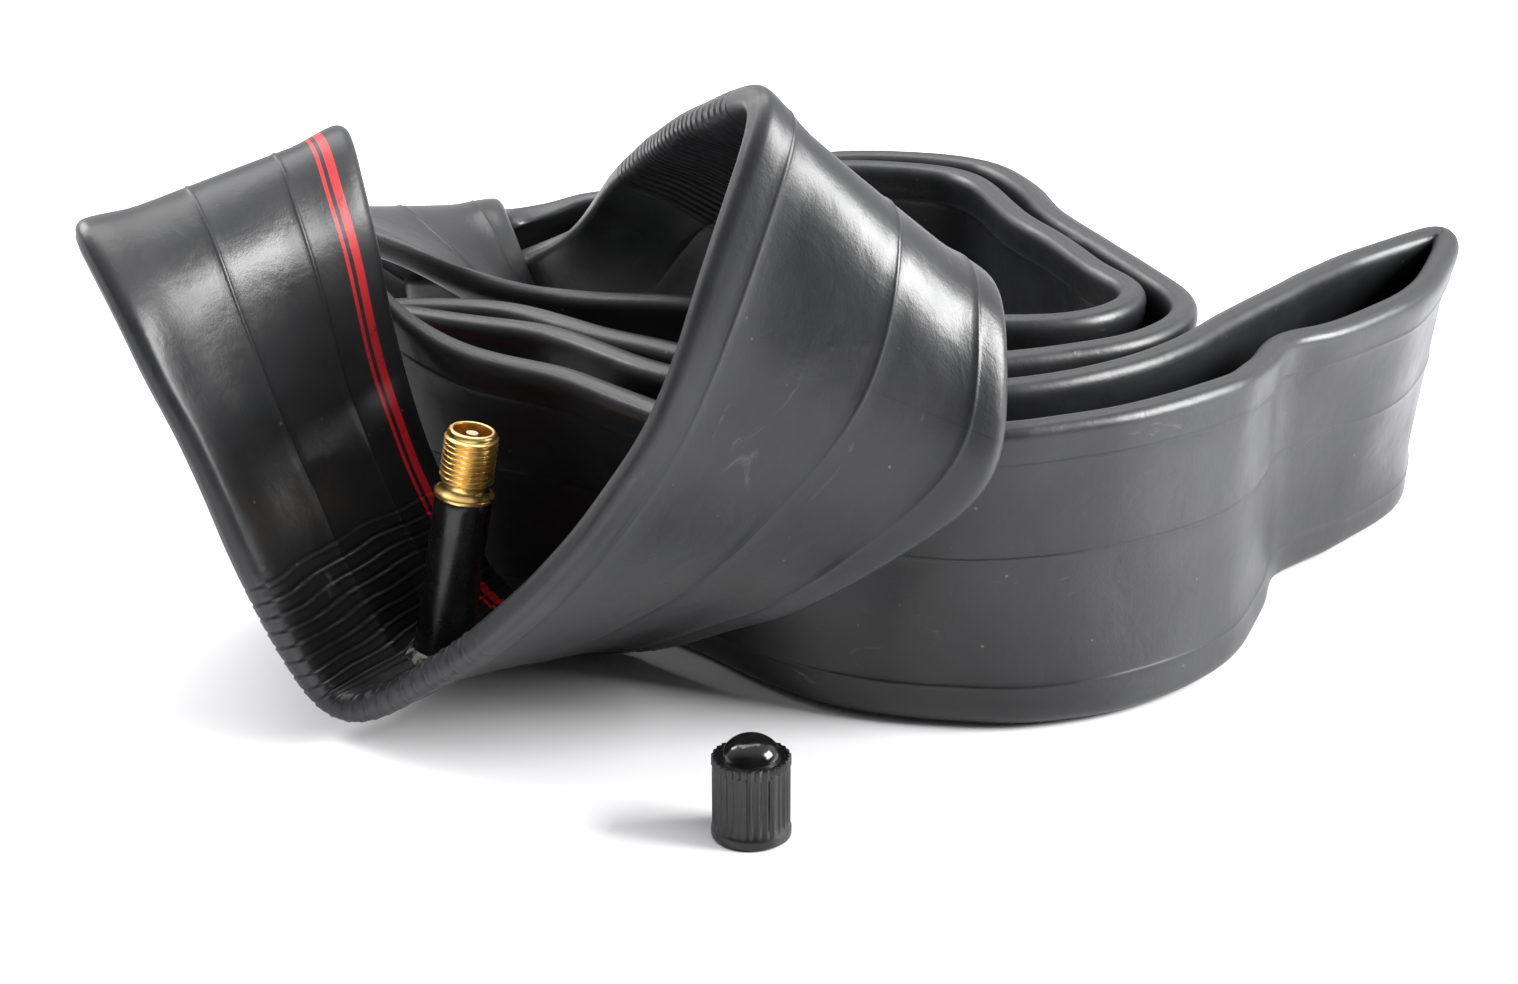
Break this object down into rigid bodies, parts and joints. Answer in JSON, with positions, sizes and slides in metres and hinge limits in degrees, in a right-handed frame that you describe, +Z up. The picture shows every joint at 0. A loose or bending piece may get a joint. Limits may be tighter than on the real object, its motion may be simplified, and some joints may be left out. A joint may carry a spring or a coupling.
{
  "type": "bicycle inner tube",
  "caption": "Deflated butyl bicycle inner tube lying folded on edge, with a rubber-coated car-type valve, its sprung core and a loose screw-on dust cap.",
  "frame": {"origin": "on the floor, under the middle of the folded tube and its loose cap", "axes": "+Z up from the floor, +X to the right of the valve side, +Y from the valve side towards the back loop"},
  "size_m": [0.2038, 0.1655, 0.0915],
  "materials": {
    "butyl": "satin moulded butyl with talc smudges and a printed red double stripe",
    "stem_rubber": "smooth satin black rubber",
    "valve_brass": "turned bright brass",
    "core_brass": "turned brass",
    "core_seal": "moulded black rubber",
    "pin_metal": "bright turned pin",
    "spring_steel": "bright spring wire",
    "cap_plastic": "moulded black plastic, glossy dome"
  },
  "bodies": {
    "tube": {"tube_body": "butyl", "valve_base_patch": "butyl", "valve_stem_rubber": "stem_rubber", "valve_stem_insert": "valve_brass"},
    "core": {"core_barrel": "core_brass", "core_barrel_seal": "core_seal", "core_spring": "spring_steel"},
    "plug": {"core_plug": "core_brass"},
    "pin": {"core_pin": "pin_metal", "core_cup": "core_brass", "core_cup_seal": "core_seal"},
    "cap": {"valve_cap": "cap_plastic", "cap_seal": "core_seal"}
  },
  "joints": [
    {"name": "core_lift", "type": "slide", "parent": "tube", "child": "core", "axis": [0.1564, 0, 0.9877], "range_m": [0, 0.00353]},
    {"name": "core_plug_turn", "type": "hinge", "parent": "core", "child": "plug", "pos_m": [-0.052, -0.0315, 0.0042], "axis": [0.1564, 0, 0.9877], "range_deg": [0, 1800]},
    {"name": "pin_press", "type": "slide", "parent": "core", "child": "pin", "axis": [-0.1564, 0, -0.9877], "range_m": [0, 0.001], "stiffness_N_per_m": 600, "springref_m": -0.003, "deforming": ["core_spring"]},
    {"name": "cap_lift", "type": "slide", "parent": "tube", "child": "cap", "axis": [0, 0, 1], "range_m": [0, 0.06]}
  ],
  "couplings": [
    {"joint": "core_plug_turn", "follows": "core_lift", "rad_per_m": 8905}
  ]
}
